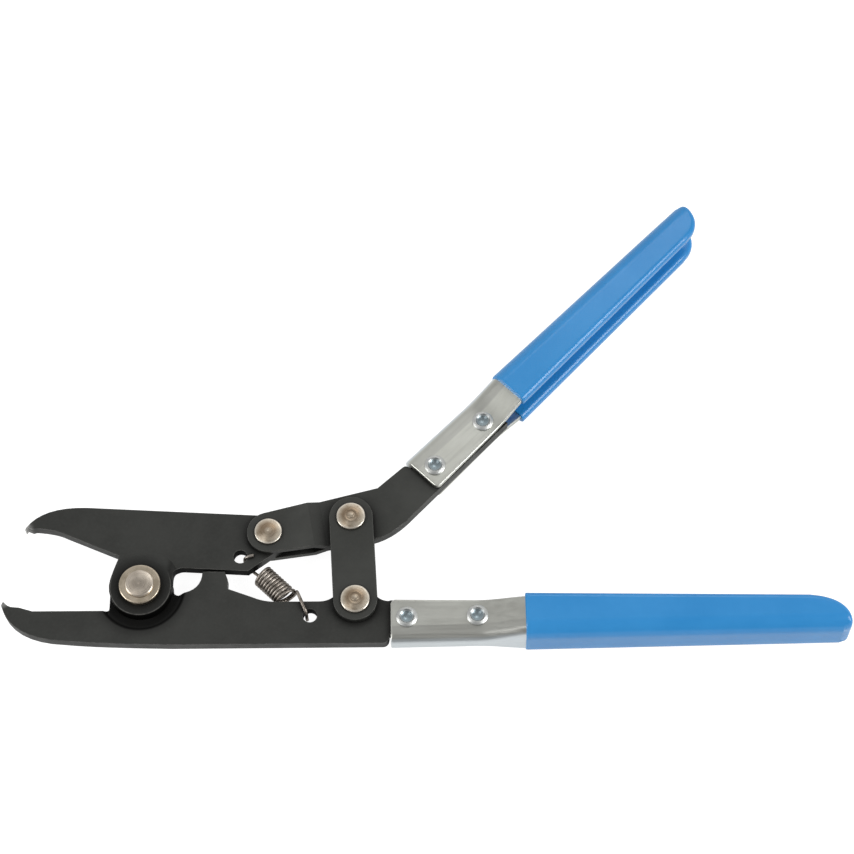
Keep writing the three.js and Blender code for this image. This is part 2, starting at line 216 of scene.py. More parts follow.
class Shader:
    """A node material built by short calls. Values may be numbers, colours or other sockets."""

    def __init__(self, name):
        self.material = bpy.data.materials.new(name)
        self.material.use_nodes = True
        self.tree = self.material.node_tree
        self.tree.nodes.clear()
        output = self.tree.nodes.new("ShaderNodeOutputMaterial")
        self.surface = self.tree.nodes.new("ShaderNodeBsdfPrincipled")
        self.tree.links.new(self.surface.outputs["BSDF"], output.inputs["Surface"])
        self.coordinates = self.add("ShaderNodeTexCoord", result="Object")

    def set(self, socket, value):
        if isinstance(value, bpy.types.NodeSocket):
            self.tree.links.new(value, socket)
        elif isinstance(value, tuple) and len(value) == 3 and socket.type == "RGBA":
            socket.default_value = (*value, 1)
        else:
            socket.default_value = value

    def add(self, kind, inputs=None, result=0, **settings):
        made = self.tree.nodes.new(kind)
        for key, value in settings.items():
            setattr(made, key, value)
        for key, value in (inputs or {}).items():
            self.set(made.inputs[key], value)
        return made.outputs[result]

    def principled(self, **values):
        for key, value in values.items():
            self.set(self.surface.inputs[key.replace("_", " ")], value)

    def math(self, operation, a, b=0.0, clamped=False):
        return self.add("ShaderNodeMath", {0: a, 1: b}, operation=operation, use_clamp=clamped)

    def noise(self, size, detail=3.0, rough=0.55, where=None):
        """Fractal noise from 0 to 1. size is the width of a patch, in millimetres."""
        where = self.coordinates if where is None else where
        inputs = {"Vector": where, "Scale": 1 / (size * MM), "Detail": detail, "Roughness": rough}
        return self.add("ShaderNodeTexNoise", inputs)

    def fit(self, value, low, high, to_low=0.0, to_high=1.0):
        inputs = {0: value, 1: low, 2: high, 3: to_low, 4: to_high}
        return self.add("ShaderNodeMapRange", inputs, interpolation_type="SMOOTHSTEP")

    def within(self, value, low, high, blur):
        """1 between two lengths in millimetres, falling to 0 outside over a blur."""
        above = self.fit(value, (low - blur) * MM, low * MM)
        return self.math("MULTIPLY", above, self.fit(value, high * MM, (high + blur) * MM, 1, 0))

    def mix(self, share, first, second):
        inputs = {0: share, 6: first, 7: second}
        return self.add("ShaderNodeMix", inputs, result=2, data_type="RGBA")

    def stretched(self, along, across):
        """Coordinates in which a patch is longer along X than across it."""
        scale = (1 / along, 1 / across, 1 / across)
        return self.add("ShaderNodeMapping", {"Vector": self.coordinates, "Scale": scale})

    def edges(self, radius, gain=5.0):
        """1 on edges sharper than the radius, in millimetres, 0 on flat faces."""
        rounded = self.add("ShaderNodeBevel", {"Radius": radius * MM}, samples=4)
        true = self.add("ShaderNodeNewGeometry", result="Normal")
        alike = self.add(
            "ShaderNodeVectorMath", {0: rounded, 1: true}, result="Value", operation="DOT_PRODUCT"
        )
        return self.math("MULTIPLY", self.math("SUBTRACT", 1.0, alike), gain, clamped=True)

    def open_air(self, reach):
        """1 on open faces, lower in corners and beside steps within reach millimetres."""
        inputs = {"Distance": reach * MM}
        return self.add("ShaderNodeAmbientOcclusion", inputs, result="AO", samples=6)

    def facing(self):
        """How far the surface looks along Z, from -1 to 1. Smooth shading has no say in it."""
        true = self.add("ShaderNodeNewGeometry", result="True Normal")
        return self.add("ShaderNodeSeparateXYZ", {0: true}, result="Z")

    def bump(self, height, depth, strength=1.0, under=None):
        """depth is the full height of the bump, in millimetres."""
        inputs = {"Height": height, "Distance": depth * MM, "Strength": strength}
        if under is not None:
            inputs["Normal"] = under
        return self.add("ShaderNodeBump", inputs)

    def radius_from(self, x=0.0, y=0.0):
        """Distance in the plane of the tool from a point given in millimetres."""
        moved = self.add(
            "ShaderNodeVectorMath",
            {0: self.coordinates, 1: (x * MM, y * MM, 0)},
            operation="SUBTRACT",
        )
        flat = self.add("ShaderNodeVectorMath", {0: moved, 1: (1, 1, 0)}, operation="MULTIPLY")
        return self.add("ShaderNodeVectorMath", {0: flat}, result="Value", operation="LENGTH")


def black_steel(name, shade=1.0, bends=1.0, tips=(), boss=None, recess=None, shadowed_edge=None):
    """Pressed plate with a black oxide finish: mottled, satin, rubbed lighter along its edges, and
    painted shade makes it deep black in corners. shade makes the finish lighter, bends is how much
    of the painted light a bend keeps. tips are (x, y, reach) of ground jaw ends. boss is the radius
    of the boss round the main pivot: painted shade darkens its face, a painted highlight lights its
    lower rim and painted shadow blackens its wall. recess is the radius of the hollow round the
    pivot: painted shade darkens it inside and some way round it, with a painted shadow line at its
    edge. The last argument is the area (low x, high x, low y, high y) where the plate's edge face is
    painted deep black as shadow."""
    s = Shader(name)
    cloud = s.noise(14, detail=5)
    grain = s.noise(0.9, detail=4, rough=0.65)
    dark = tuple(shade * c for c in (0.023, 0.0238, 0.021))
    light = tuple(shade * c for c in (0.034, 0.035, 0.0315))
    base = s.mix(s.fit(cloud, 0.3, 0.7), dark, light)
    base = s.mix(s.fit(grain, 0.35, 0.75, 0, 0.25), base, (0.05, 0.05, 0.047))
    radius = s.radius_from()
    x = s.add("ShaderNodeSeparateXYZ", {0: s.coordinates}, result="X")
    y = s.add("ShaderNodeSeparateXYZ", {0: s.coordinates}, result="Y")
    slope = s.math("ABSOLUTE", s.facing())
    rub = s.math("MULTIPLY", s.edges(0.35), s.fit(s.noise(3, detail=5), 0.32, 0.6))
    painted_shadow = 0.0

    # Painted shade: corners, steps and the slopes of bends are darkened in colour and reflection as
    # if in shade.
    bent = s.math("MULTIPLY", s.fit(slope, 0.8, 0.85), s.fit(slope, 0.972, 0.995, 1, 0))
    painted_light_share = s.math("MULTIPLY", s.open_air(5), s.fit(bent, 0, 1, 1, bends))
    # Painted shadow: the plate's edge faces in this area are made deep black, as if in shade.
    if shadowed_edge is not None:
        low_x, high_x, low_y, high_y = shadowed_edge
        area = s.math("MULTIPLY", s.within(x, low_x, high_x, 2), s.within(y, low_y, high_y, 1))
        painted_shadow = s.math("MULTIPLY", area, s.fit(slope, 0.7, 0.97, 0.95, 0))
    if recess is not None:
        # Painted shade: the hollow under the boss and a ring round it are darkened, with a painted
        # shadow line at the hollow's edge.
        inside = s.fit(radius, (recess - 0.9) * MM, recess * MM, 0.74, 1)
        around = s.fit(radius, (recess - 0.2) * MM, (recess + 5) * MM, 0.72, 1)
        painted_light_share = s.math("MULTIPLY", painted_light_share, s.math("MULTIPLY", inside, around))
        off = s.math("ABSOLUTE", s.math("SUBTRACT", radius, (recess - 0.25) * MM))
        painted_shadow = s.math("MAXIMUM", painted_shadow, s.fit(off, 0.15 * MM, 0.8 * MM, 0.75, 0))
    if boss is not None:
        # Painted shade darkens the boss's face and the slope round it.
        face = s.fit(radius, (boss - 1.5) * MM, (boss + 3) * MM, 0.72, 1)
        painted_light_share = s.math("MULTIPLY", painted_light_share, face)
        # Painted highlight on the boss's lower rim, and painted shadow on its wall below.
        below = s.fit(y, 0, 5 * MM, 1, 0)
        off = s.math("ABSOLUTE", s.math("SUBTRACT", radius, (boss - 0.35) * MM))
        ring = s.math("MULTIPLY", s.fit(off, 0.08 * MM, 0.2 * MM, 1, 0), below)
        painted_rim_highlight = s.math("MULTIPLY", ring, s.fit(s.noise(2), 0.3, 0.6, 0.1, 0.65))
        wall = s.math("MULTIPLY", s.fit(radius, (boss - 0.24) * MM, (boss - 0.12) * MM), below)
        painted_shadow = s.math("MAXIMUM", painted_shadow, s.math("MULTIPLY", wall, 0.75))
        rub = s.math("MULTIPLY", rub, s.fit(wall, 0, 1, 1, 0))
        rub = s.math("MAXIMUM", rub, s.math("MULTIPLY", painted_rim_highlight, 0.7))
    # Where painted shadow lies, the edge wear and the reflections are taken away and the colour goes
    # deep black.
    unshadowed = s.math("SUBTRACT", 1.0, painted_shadow)
    rub = s.math("MULTIPLY", rub, unshadowed)
    # Painted shade: where little light reaches, the colour goes towards deep black.
    base = s.mix(s.fit(painted_light_share, 0.45, 0.98), (0.01, 0.01, 0.0095), base)
    base = s.mix(painted_shadow, base, (0.001, 0.001, 0.001))
    colour = s.mix(s.math("MULTIPLY", rub, 0.9), base, (0.22, 0.215, 0.2))
    metal = s.fit(rub, 0, 1, 0.15, 0.7)
    rough = s.fit(s.noise(5, detail=4), 0.3, 0.7, 0.42, 0.54)
    for tip_x, tip_y, reach in tips:
        near = s.fit(s.radius_from(tip_x, tip_y), 0.2 * reach * MM, reach * MM, 1, 0)
        bare = s.math("MULTIPLY", near, s.fit(s.noise(1.6, detail=4), 0.3, 0.46))
        bare = s.math("MULTIPLY", bare, s.fit(s.edges(0.6, gain=8), 0, 0.5, 0.35, 1))
        colour = s.mix(bare, colour, (0.62, 0.62, 0.6))
        metal = s.math("MAXIMUM", metal, bare)
    relief = s.bump(grain, 0.014)
    relief = s.bump(s.noise(9, detail=2), 0.05, 0.5, under=relief)
    # Painted shade also dims the reflections in corners and under the painted shadows.
    shine = s.math("MULTIPLY", s.fit(painted_light_share, 0.4, 0.95, 0.08, 0.42), unshadowed)
    s.principled(Base_Color=colour, Metallic=metal, Roughness=rough, Normal=relief)
    s.principled(Specular_IOR_Level=shine)
    return s.material


def turned_metal(name, colour, dull, ring=0.22, rim=None):
    """Plated steel turned on a lathe: fine rings round the piece's own axis. With a rim radius the
    metal is lighter outside it and brown in a band halfway to it, with painted shade making the band
    darkest on the upper side. Without one its middle is darker."""
    s = Shader(name)
    radius = s.radius_from()
    sway = s.math("MULTIPLY", s.noise(2.5, detail=2), 0.25 * MM)
    turns = s.math("MULTIPLY", s.math("ADD", radius, sway), 1 / (ring * MM))
    place = s.add("ShaderNodeCombineXYZ", {0: turns, 1: 0.0, 2: 0.0})
    rings = s.add("ShaderNodeTexNoise", {"Vector": place, "Scale": 1.0, "Detail": 4.0})
    haze = s.noise(3, detail=3)
    base = s.mix(s.fit(haze, 0.35, 0.68), colour, dull)
    if rim is None:
        middle = s.fit(radius, 0.6 * MM, 2.8 * MM, 0.75, 0)
        darker_middle = s.math("MULTIPLY", middle, s.fit(haze, 0.2, 0.6, 0.6, 1))
        base = s.mix(darker_middle, base, tuple(0.68 * c for c in dull))
    else:
        height = s.add("ShaderNodeSeparateXYZ", {0: s.coordinates}, result="Y")
        off = s.math("ABSOLUTE", s.math("SUBTRACT", radius, 0.52 * rim * MM))
        band = s.fit(off, 0.4 * MM, 1.9 * MM, 0.9, 0)
        # Painted shade: the brown band is darkest on the upper side.
        brown_band_and_painted_shade = s.math("MULTIPLY", band, s.fit(height, -2.4 * MM, 1.6 * MM, 0.45, 1))
        base = s.mix(brown_band_and_painted_shade, base, (0.3, 0.215, 0.14))
        lighter_rim = s.fit(radius, rim * MM, (rim + 0.6) * MM, 0, 0.7)
        base = s.mix(lighter_rim, base, (0.9, 0.84, 0.74))
    rub = s.math("MULTIPLY", s.edges(0.25), s.fit(s.noise(1.2), 0.25, 0.5))
    base = s.mix(s.math("MULTIPLY", rub, 0.7), base, (0.86, 0.83, 0.78))
    rough = s.fit(rings, 0.3, 0.7, 0.24, 0.4)
    relief = s.bump(rings, 0.012, 0.8)
    s.principled(Base_Color=base, Metallic=1.0, Roughness=rough, Normal=relief)
    return s.material


def zinc(name, painted_flange_shade):
    """Bright zinc on pressed sheet, with draw marks along the handle and painted highlights along its
    edges. The second argument is how much painted shade greys the flanges. Painted shade also lays a
    darker band low on the flanges, and a painted reflection tints the web bluish white."""
    s = Shader(name)
    marks = s.noise(1, detail=4, where=s.stretched(26, 0.8))
    cloud = s.noise(6, detail=4, where=s.stretched(3, 1))
    base = s.mix(s.fit(cloud, 0.3, 0.72), (0.63, 0.635, 0.57), (0.75, 0.76, 0.7))
    base = s.mix(s.fit(marks, 0.5, 0.8, 0, 0.3), base, (0.48, 0.48, 0.45))
    across = s.add("ShaderNodeSeparateXYZ", {0: s.coordinates}, result="Y")
    from_web = s.math("ABSOLUTE", across)
    lower = s.fit(from_web, (FLANGE_TURN - 0.4) * MM, (FLANGE_TURN + 0.2) * MM, 1, 0)
    flange = s.fit(from_web, 0.2 * MM, 1.5 * MM)
    # Painted shade: the flanges are greyed, the lower channel's more than the upper's.
    shaded_flange = s.math("MULTIPLY", flange, s.fit(cloud, 0.25, 0.7, 1.25 * painted_flange_shade, 0.7 * painted_flange_shade))
    base = s.mix(shaded_flange, base, (0.42, 0.42, 0.4))
    # Painted shade: a darker band low on the flanges, just above the bend to the web.
    band = s.math("MULTIPLY", s.math("MULTIPLY", lower, flange), s.fit(cloud, 0.2, 0.6, 0.1, 0.4))
    base = s.mix(band, base, (0.38, 0.38, 0.36))
    # Painted reflection: the web is tinted bluish white.
    base = s.mix(s.fit(flange, 0, 1, 0.7, 0), base, (0.68, 0.74, 0.79))
    # Painted highlight: the edges are lightened.
    bright = s.edges(0.5)
    base = s.mix(s.math("MULTIPLY", bright, 0.7), base, (0.93, 0.93, 0.91))
    rough = s.fit(marks, 0.25, 0.75, 0.3, 0.44)
    relief = s.bump(marks, 0.012, 0.6)
    relief = s.bump(s.noise(9, detail=2), 0.04, 0.3, under=relief)
    s.principled(Base_Color=base, Metallic=1.0, Roughness=rough, Normal=relief)
    return s.material


def rivet_metal(name="rivet_zinc"):
    """Zinc polished by the setting tool, with painted shade making it darker and bluer in the hollow
    and a painted shade line round the hollow's edge.
    """
    s = Shader(name)
    radius = s.radius_from()
    haze = s.noise(1.1, detail=4)
    hollow = s.fit(radius, 1.6 * MM, 1.95 * MM, 1, 0)
    base = s.mix(s.fit(haze, 0.35, 0.7), (0.66, 0.67, 0.65), (0.55, 0.56, 0.55))
    # Painted shade: the hollow is darker and bluer.
    base = s.mix(hollow, base, (0.33, 0.4, 0.43))
    off = s.math("ABSOLUTE", s.math("SUBTRACT", radius, 2.0 * MM))
    # Painted shade: a dark line round the hollow's edge.
    base = s.mix(s.fit(off, 0.05 * MM, 0.3 * MM, 0.7, 0), base, (0.2, 0.23, 0.24))
    rough = s.math("ADD", s.fit(haze, 0.3, 0.7, 0.36, 0.46), s.fit(hollow, 0, 1, 0, -0.14))
    relief = s.bump(s.noise(0.5, detail=3), 0.005)
    s.principled(Base_Color=base, Metallic=1.0, Roughness=rough, Normal=relief)
    return s.material


def spring_wire(name="spring_steel"):
    """Drawn wire, oiled: brownish, bright where the light catches it."""
    s = Shader(name)
    patches = s.noise(1.5, detail=4)
    base = s.mix(s.fit(patches, 0.3, 0.7), (0.2, 0.175, 0.15), (0.44, 0.4, 0.355))
    rough = s.fit(s.noise(0.7, detail=3), 0.3, 0.7, 0.36, 0.48)
    relief = s.bump(s.noise(0.3, detail=3), 0.006)
    s.principled(Base_Color=base, Metallic=1.0, Roughness=rough, Normal=relief)
    return s.material


def dipped_plastic(name="grip_plastic"):
    """Soft glossy dipped plastic: slightly wavy, a little paler along edges, where it thins and as a
    painted highlight.
    """
    s = Shader(name)
    drift = s.noise(22, detail=3)
    fine = s.noise(2.2, detail=4)
    base = s.mix(s.fit(drift, 0.3, 0.7), (0.026, 0.242, 0.575), (0.036, 0.268, 0.615))
    base = s.mix(s.fit(fine, 0.35, 0.75, 0, 0.1), base, (0.022, 0.205, 0.51))
    # Paler edges: the coat thins there, and a painted highlight is added.
    thin_edge_and_highlight = s.math("MULTIPLY", s.edges(0.7, gain=3), s.fit(s.noise(5), 0.3, 0.7, 0.4, 1))
    base = s.mix(s.math("MULTIPLY", thin_edge_and_highlight, 0.3), base, (0.16, 0.46, 0.8))
    rough = s.fit(s.noise(12, detail=2), 0.3, 0.7, 0.17, 0.23)
    relief = s.bump(s.noise(18, detail=1), 0.05, 0.4)
    relief = s.bump(s.noise(3.5, detail=2), 0.001, 0.4, under=relief)
    s.principled(Base_Color=base, Roughness=rough, Normal=relief)
    s.principled(Specular_IOR_Level=0.42, Coat_Weight=0.12, Coat_Roughness=0.1)
    return s.material


# ---- Plates: the CAD nodes keep their shape ----------------------------------------------


def pressed_edges(node, material, width):
    """Rolls the edges of a CAD plate over a little and gives it a finish."""
    plate = frame["nodes"][node]
    mesh = plate.data
    if "custom_normal" in mesh.attributes:
        mesh.attributes.remove(mesh.attributes["custom_normal"])
    mesh.shade_smooth()
    plate.modifiers.new("join", "WELD").merge_threshold = 1e-6
    flat = plate.modifiers.new("flat", "DECIMATE")
    flat.decimate_type = "DISSOLVE"
    flat.angle_limit = math.radians(0.6)
    roll = plate.modifiers.new("roll", "BEVEL")
    roll.width = width * MM
    roll.segments = 3
    roll.limit_method = "ANGLE"
    roll.angle_limit = math.radians(50)
    roll.harden_normals = True
    plate.modifiers.new("shade", "WEIGHTED_NORMAL").keep_sharp = False
    mesh.materials.clear()
    mesh.materials.append(material)


# ---- Pins, washers and rivets ------------------------------------------------------------


def lathe(name, profile, centre, material, steps=96, sharp=40):
    """A solid turned about a line parallel to Z. The profile is (radius, z) from the lowest point
    on the axis to the highest. The object's own origin is at the centre given."""
    loops = []
    for radius, z in profile:
        turn = [2 * math.pi * i / steps for i in range(steps)]
        loops.append([(radius * math.cos(a), radius * math.sin(a), z) for a in turn])
    vertices = [v for loop in loops for v in loop]
    faces = bridge(loops)
    place = Matrix.Translation(Vector(centre) * MM)
    return make_piece(name, vertices, faces, material, sharp, place)


def head_profile(radius, height, under, nub):
    """A low domed rivet head with a flat rim, and a struck ring and centre when nub is given."""
    rim = 0.45
    points = [(radius, under), (radius, under + rim)]
    points += arc((radius - 0.3, under + rim), 0.3, 20, 90, 4)
    crown = under + rim + 0.3
    top = under + height
    fall = radius - 0.35
    for i in range(1, 12):
        t = i / 12
        points.append((fall * (1 - t), crown + (top - crown) * (1 - (1 - t) ** 2)))
    if not nub:
        points.append((0.35, top + 0.02))
        points.append((0, top - 0.12))
        return points
    ring = 1.65
    points = [p for p in points if p[0] > ring + 0.15]
    level = points[-1][1]
    points += [(ring, level + 0.03), (ring - 0.14, level - 0.03), (ring - 0.55, level + 0.01)]
    points += [(0.95, level + 0.03), (0.8, level + 0.12), (0.5, level + 0.17), (0, level + 0.19)]
    return points


def pin_piece(node, radius, shank, nub):
    """A pin with a head at each end, between the ends of its CAD solid."""
    low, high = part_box(node)
    middle = (low + high) / 2 / MM
    reach = (high.z - low.z) / 2 / MM
    under = reach - HEAD_HEIGHT
    front = [(shank, under)] + head_profile(radius, HEAD_HEIGHT, under, nub)
    back = [(r, -z) for r, z in reversed(front)]
    colour, dull = (0.76, 0.67, 0.54), (0.43, 0.345, 0.25)
    material = turned_metal(node + "_metal", colour, dull, rim=radius - 0.8)
    piece = lathe(node + "_turned", back + front, middle, material)
    return stand_for(piece, node)


def pivot_piece():
    """The main pivot rivet: a broad low cone with a rounded shoulder in front, flat behind."""
    node = "main_pivot_rivet"
    low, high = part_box(node)
    middle = (low + high) / 2 / MM
    top = (high.z - low.z) / 2 / MM
    base = top - PIVOT_HEAD_HEIGHT
    edge = 0.3
    shoulder = 0.6
    land = base + 0.12
    profile = [(0, -top), (PIVOT_HEAD - edge, -top)]
    profile += arc((PIVOT_HEAD - edge, -top + edge), edge, -90, 0, 4)
    profile += [(PIVOT_HEAD, -base), (PIVOT_SHANK, -base), (PIVOT_SHANK, base)]
    profile += [(PIVOT_HEAD, base), (PIVOT_HEAD, land)]
    profile += arc((PIVOT_HEAD - shoulder, land), shoulder, 0, 76, 8)
    profile += [(2.6, top - 0.14), (1.4, top - 0.05), (0.5, top), (0.3, top - 0.04), (0, top - 0.14)]
    material = turned_metal("pivot_metal", (0.74, 0.66, 0.56), (0.55, 0.48, 0.4), ring=0.3)
    return stand_for(lathe(node + "_turned", profile, middle, material), node)


def washer_piece(node):
    """A plain thick washer with a rounded rim."""
    low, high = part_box(node)
    middle = (low + high) / 2 / MM
    half = (high.z - low.z) / 2 / MM
    outer = (high.x - low.x) / 2 / MM
    side = 1 if middle.z > centre_of("main_pivot_rivet").z else -1
    round_edge = 0.4
    chamfer = 0.15
    face = [(WASHER_BORE, half - 0.04), (4.6, half - 0.02), (outer - 0.5, half)]
    face += arc((outer - round_edge, half - round_edge), round_edge, 90, 0, 8)
    profile = [(WASHER_BORE, -half), (outer - chamfer, -half), (outer, -half + chamfer)]
    profile = profile + list(reversed(face)) + [(WASHER_BORE, -half)]
    profile = [(r, z * side) for r, z in profile]
    material = turned_metal(node + "_metal", (0.65, 0.56, 0.44), (0.48, 0.41, 0.31), ring=0.26)
    return stand_for(lathe(node + "_turned", profile, middle, material), node)


def rivet_piece(node, material):
    """A tubular rivet: its end rolled over into a ring round a polished cup, plain head behind."""
    low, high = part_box(node)
    middle = (low + high) / 2 / MM
    reach = (high.z - low.z) / 2 / MM
    back_under = -reach + 1.2
    front_under = reach - 0.9
    profile = [(0, -reach), (1.2, -reach + 0.06), (2.2, -reach + 0.3), (2.9, -reach + 0.7)]
    profile += [(RIVET_HEAD, -reach + 1.0), (RIVET_HEAD, back_under)]
    profile += [(RIVET_TUBE, back_under), (RIVET_TUBE, front_under), (RIVET_HEAD, front_under)]
    profile += arc((2.95, front_under + 0.22), 0.24, -40, 65, 5)
    profile += arc((2.3, front_under + 0.55), 0.32, 80, 150, 6)
    cup_radius = 1.95
    cup_depth = 0.52
    cup_rim = front_under + 0.68
    for i in range(1, 15):
        r = cup_radius * (1 - i / 14)
        profile.append((r, cup_rim - cup_depth * (1 - (r / cup_radius) ** 2)))
    return stand_for(lathe(node + "_set", profile, middle, material), node)


# ---- Handles -----------------------------------------------------------------------------


class Handle:
    """The frame of one handle, found from its two rivets: u runs to the rear from the channel's
    front end, v from the web's outer face to the open side, z is the tool's own. turn is 1 where
    the open side is up and -1 where it is down, and blunt is 1 for a rounder rear end."""

    def __init__(self, side, turn, grip_from, length, blunt):
        self.side = side
        self.turn = turn
        self.grip_from = grip_from
        self.length = length
        self.blunt = blunt
        front = centre_of(side + "_rivet_front")
        rear = centre_of(side + "_rivet_rear")
        along = Vector((rear.x - front.x, rear.y - front.y, 0)).normalized()
        across = Vector((-along.y, along.x, 0))
        origin = front - along * RIVET_U[0] - across * (RIVET_V * turn)
        origin.z = centre_of("main_pivot_rivet").z
        self.place = Matrix.Translation(origin * MM) @ Matrix.Rotation(
            math.atan2(along.y, along.x), 4, "Z"
        )

    def points(self, section_points):
        return [(u, v * self.turn, z) for u, v, z in section_points]


LOWER = Handle("lower", turn=1, grip_from=39.5, length=134.0, blunt=0)
UPPER = Handle("upper", turn=-1, grip_from=37.7, length=123.0, blunt=1)


def depth_at(u):
    return CHANNEL_DEPTH - HANDLE_TAPER * u


def u_chain(wide, low, top, corner, leg_steps, corner_steps=8, web_steps=6, lean=0.0):
    """One side of a U: from the top of the right leg, round the web, to the top of the left leg.
    Points are (z, v). lean is how far the legs come in below FLANGE_TURN."""
    corner = max(corner, 0.05)
    foot = low + corner
    points = []
    for i in range(leg_steps):
        v = top + (foot - top) * i / leg_steps
        points.append((wide - lean * smoothstep((FLANGE_TURN - v) / (FLANGE_TURN - foot)), v))
    wide -= lean
    points += arc((wide - corner, low + corner), corner, 0, -90, corner_steps)
    inner = wide - corner
    points += [(inner - 2 * inner * i / web_steps, low) for i in range(1, web_steps)]
    left = [(-z, v) for z, v in points[: leg_steps + corner_steps + 1]]
    return points + left[::-1]


def u_loop(outer, inner, radius, used, steps):
    """Joins an outer and an inner chain over the tops of the legs into one closed loop."""
    loop = list(outer)
    loop += flat_top(outer[-1], inner[-1], radius, used, steps)
    loop += inner[::-1]
    loop += flat_top(inner[0], outer[0], radius, used, steps)
    return loop


def flat_top(start, end, radius, used=0.0, steps=4):
    """The free edge of a leg: flat between two rounds, from a point on one side of the leg to the
    point across from it. used is the angle of the rounds already turned, in degrees."""
    inwards = 1 if end[0] > start[0] else -1
    side = math.cos(math.radians(used))
    rise = math.sin(math.radians(used))
    rounds = []
    for i in range(1, steps + 1):
        a = math.radians(max(used, 90 * i / steps))
        rounds.append((radius * (side - math.cos(a)), radius * (math.sin(a) - rise)))
    first = [(start[0] + inwards * x, start[1] + y) for x, y in rounds]
    second = [(end[0] - inwards * x, end[1] + y) for x, y in reversed(rounds)]
    return first + second


def channel_piece(handle, material):
    """Pressed sheet bent to a U, narrow round the plates and wider inside the grip."""
    leg_steps = 20
    rim = 0.3
    end = handle.length - BURIED_END
    stations = [0.0, 0.12, 0.35, 0.7, 1.15, FRONT_CORNER, 2.2, 4, 8, 14, 20]
    stations += [FLARE_FROM + (FLARE_TO - FLARE_FROM) * i / 16 for i in range(17)]
    stations.append(end)
    loops = []
    for u in stations:
        share = smoothstep((u - FLARE_FROM) / (FLARE_TO - FLARE_FROM))
        wide = CHANNEL_NARROW + (CHANNEL_WIDE - CHANNEL_NARROW) * share
        hidden = max(FRONT_CORNER - u, 0)
        drop = FRONT_CORNER - math.sqrt(FRONT_CORNER**2 - hidden**2)
        ease = 0.25 * max(1 - u / 0.3, 0) ** 2
        top = depth_at(u) - drop - rim
        web = WEB_BOW * (share - 1)
        lean = FLANGE_LEAN * (1 - share)
        bend = CHANNEL_CORNER - ease
        outer = u_chain(wide - ease, web + ease, top, bend, leg_steps, lean=lean)
        inside = wide - CHANNEL_SHEET + ease
        bend = min(CHANNEL_CORNER - CHANNEL_SHEET, inside * 0.9)
        inner = u_chain(inside, web + CHANNEL_SHEET - ease, top, bend, leg_steps, lean=lean)
        loop = u_loop(outer, inner, rim, 0, 4)
        loops.append([(u, v, z) for z, v in loop])
    vertices = handle.points([p for loop in loops for p in loop])
    faces = bridge(loops)
    faces += cap(len(outer), len(loops[0]), 0)
    faces += cap(len(outer), len(loops[0]), (len(loops) - 1) * len(loops[0]))
    piece = make_piece(handle.side + "_channel_pressed", vertices, faces, material, 50, handle.place)
    return stand_for(piece, handle.side + "_handle_channel")


def cap(chain, count, first):
    """Closes the end of a U loop with a ladder between its outer and inner chain."""
    extra = (count - 2 * chain) // 2
    faces = []
    for j in range(chain - 1):
        outer_a = first + j
        outer_b = first + j + 1
        inner_a = first + 2 * chain + extra - 1 - j
        inner_b = inner_a - 1
        faces.append((outer_a, outer_b, inner_b, inner_a))
    left = [first + chain - 1 + i for i in range(extra + 2)]
    right = [first + 2 * chain + extra - 1 + i for i in range(extra + 1)] + [first]
    return faces + [tuple(left), tuple(right)]


def grip_side_outline(handle):
    """The rear end of a grip in the side view, from the open edge round to the web: (u, v)."""
    length = handle.length
    start = (length - 11.5 + 2.5 * handle.blunt, 0)
    start = (start[0], depth_at(start[0]) + LIP)
    bow = (length - 0.2, start[1] - 1.2 + handle.blunt)
    tail = (length + 0.4, 1.9)
    points = bezier(start, bow, tail, 28)
    points += bezier(tail, (length + 0.4, -COAT), (length - 2.2, -COAT), 14)[1:]
    return points


def bezier(a, b, c, steps):
    points = []
    for i in range(steps + 1):
        t = i / steps
        points.append(
            tuple((1 - t) ** 2 * p + 2 * t * (1 - t) * q + t * t * r for p, q, r in zip(a, b, c))
        )
    return points


def inset(points, distance):
    """A line moved to its right side by a distance, as (u, v) points."""
    moved = []
    for i, point in enumerate(points):
        before = points[max(i - 1, 0)]
        after = points[min(i + 1, len(points) - 1)]
        du, dv = after[0] - before[0], after[1] - before[1]
        size = math.hypot(du, dv)
        moved.append((point[0] + dv / size * distance, point[1] - du / size * distance))
    return moved


def reach_at(line, v):
    """The u of a line at height v. The line falls from its first point to its last."""
    if v >= line[0][1]:
        return line[0][0]
    for (u0, v0), (u1, v1) in zip(line, line[1:]):
        if v0 >= v >= v1 and v0 > v1:
            return u0 + (u1 - u0) * (v0 - v) / (v0 - v1)
    return line[-1][0]


